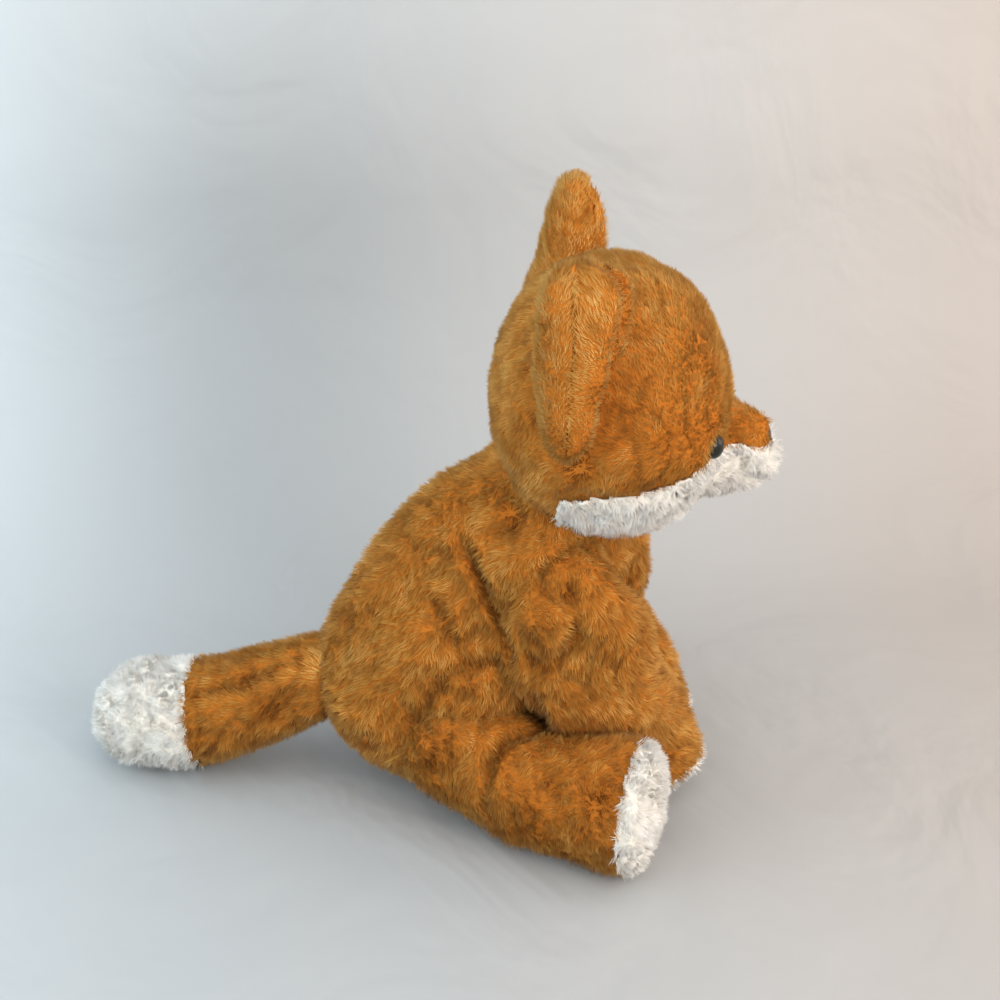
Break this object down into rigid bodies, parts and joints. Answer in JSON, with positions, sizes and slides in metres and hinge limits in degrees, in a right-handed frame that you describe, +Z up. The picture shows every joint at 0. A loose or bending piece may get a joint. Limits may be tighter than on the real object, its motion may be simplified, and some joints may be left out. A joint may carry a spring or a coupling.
{
  "type": "plush fox",
  "caption": "Seated plush fox with a round head, cupped ears, tapering muzzle, hanging forelegs, spread hind legs and a thick white-tipped tail.",
  "frame": {"origin": "on the floor, in the middle of the flat that the seat rests on", "axes": "+Z up; the toy looks along -Y, its tail points along +Y, and its left side is +X"},
  "size_m": [0.2184, 0.3333, 0.293],
  "materials": {
    "orange_plush": "long brushed pile",
    "white_plush": "curly clumped pile",
    "filling": "loose fibre",
    "pellet_cloth": "plain weave",
    "eye_plastic": "polished",
    "nose_plastic": "polished",
    "washer_plastic": "moulded"
  },
  "bodies": {
    "body": {"body_cover": "orange_plush", "body_filling": "filling", "bean_bag": "pellet_cloth"},
    "neck": {"neck_filling": "filling"},
    "head": {"head_cover": "orange_plush", "jaw_panel": "white_plush", "head_filling": "filling", "left_eye": "eye_plastic", "left_eye_washer": "washer_plastic", "right_eye": "eye_plastic", "right_eye_washer": "washer_plastic", "nose": "nose_plastic", "nose_washer": "washer_plastic"},
    "left_ear": {"left_ear_back": "orange_plush", "left_ear_front": "orange_plush"},
    "right_ear": {"right_ear_back": "orange_plush", "right_ear_front": "orange_plush"},
    "left_foreleg": {"left_foreleg_cover": "orange_plush", "left_paw_pad": "white_plush", "left_foreleg_filling": "filling"},
    "right_foreleg": {"right_foreleg_cover": "orange_plush", "right_paw_pad": "white_plush", "right_foreleg_filling": "filling"},
    "left_hind_leg": {"left_hind_leg_cover": "orange_plush", "left_sole": "white_plush", "left_hind_leg_filling": "filling"},
    "right_hind_leg": {"right_hind_leg_cover": "orange_plush", "right_sole": "white_plush", "right_hind_leg_filling": "filling"},
    "tail": {"tail_cover": "orange_plush", "tail_tip": "white_plush", "tail_filling": "filling"}
  },
  "joints": [
    {"name": "neck_nod", "type": "hinge", "parent": "body", "child": "neck", "pos_m": [0, -0.046, 0.149], "axis": [1, 0, 0], "range_deg": [-8, 8]},
    {"name": "head_turn", "type": "hinge", "parent": "neck", "child": "head", "pos_m": [0, -0.046, 0.149], "axis": [0, -0.5677, 0.8232], "range_deg": [-30, 30]},
    {"name": "left_ear_fold", "type": "hinge", "parent": "head", "child": "left_ear", "pos_m": [0.06601, -0.05897, 0.206], "axis": [-0.4319, 0.0454, 0.9008], "range_deg": [-8, 20]},
    {"name": "right_ear_fold", "type": "hinge", "parent": "head", "child": "right_ear", "pos_m": [-0.06726, -0.04496, 0.206], "axis": [-0.4319, 0.0454, -0.9008], "range_deg": [-8, 20]},
    {"name": "left_foreleg_swing", "type": "hinge", "parent": "body", "child": "left_foreleg", "pos_m": [0.035, -0.037, 0.134], "axis": [-1, 0, 0], "range_deg": [0, 35]},
    {"name": "right_foreleg_swing", "type": "hinge", "parent": "body", "child": "right_foreleg", "pos_m": [-0.035, -0.037, 0.134], "axis": [-1, 0, 0], "range_deg": [0, 35]},
    {"name": "left_hind_leg_swing", "type": "hinge", "parent": "body", "child": "left_hind_leg", "pos_m": [0.034, 0, 0.04], "axis": [-0.6005, -0.3734, 0.7071], "range_deg": [0, 20]},
    {"name": "right_hind_leg_swing", "type": "hinge", "parent": "body", "child": "right_hind_leg", "pos_m": [-0.034, 0, 0.04], "axis": [-0.6005, 0.3734, -0.7071], "range_deg": [0, 20]},
    {"name": "tail_lift", "type": "hinge", "parent": "body", "child": "tail", "pos_m": [0.003, 0.066, 0.057], "axis": [1, 0, 0], "range_deg": [0, 45]}
  ]
}
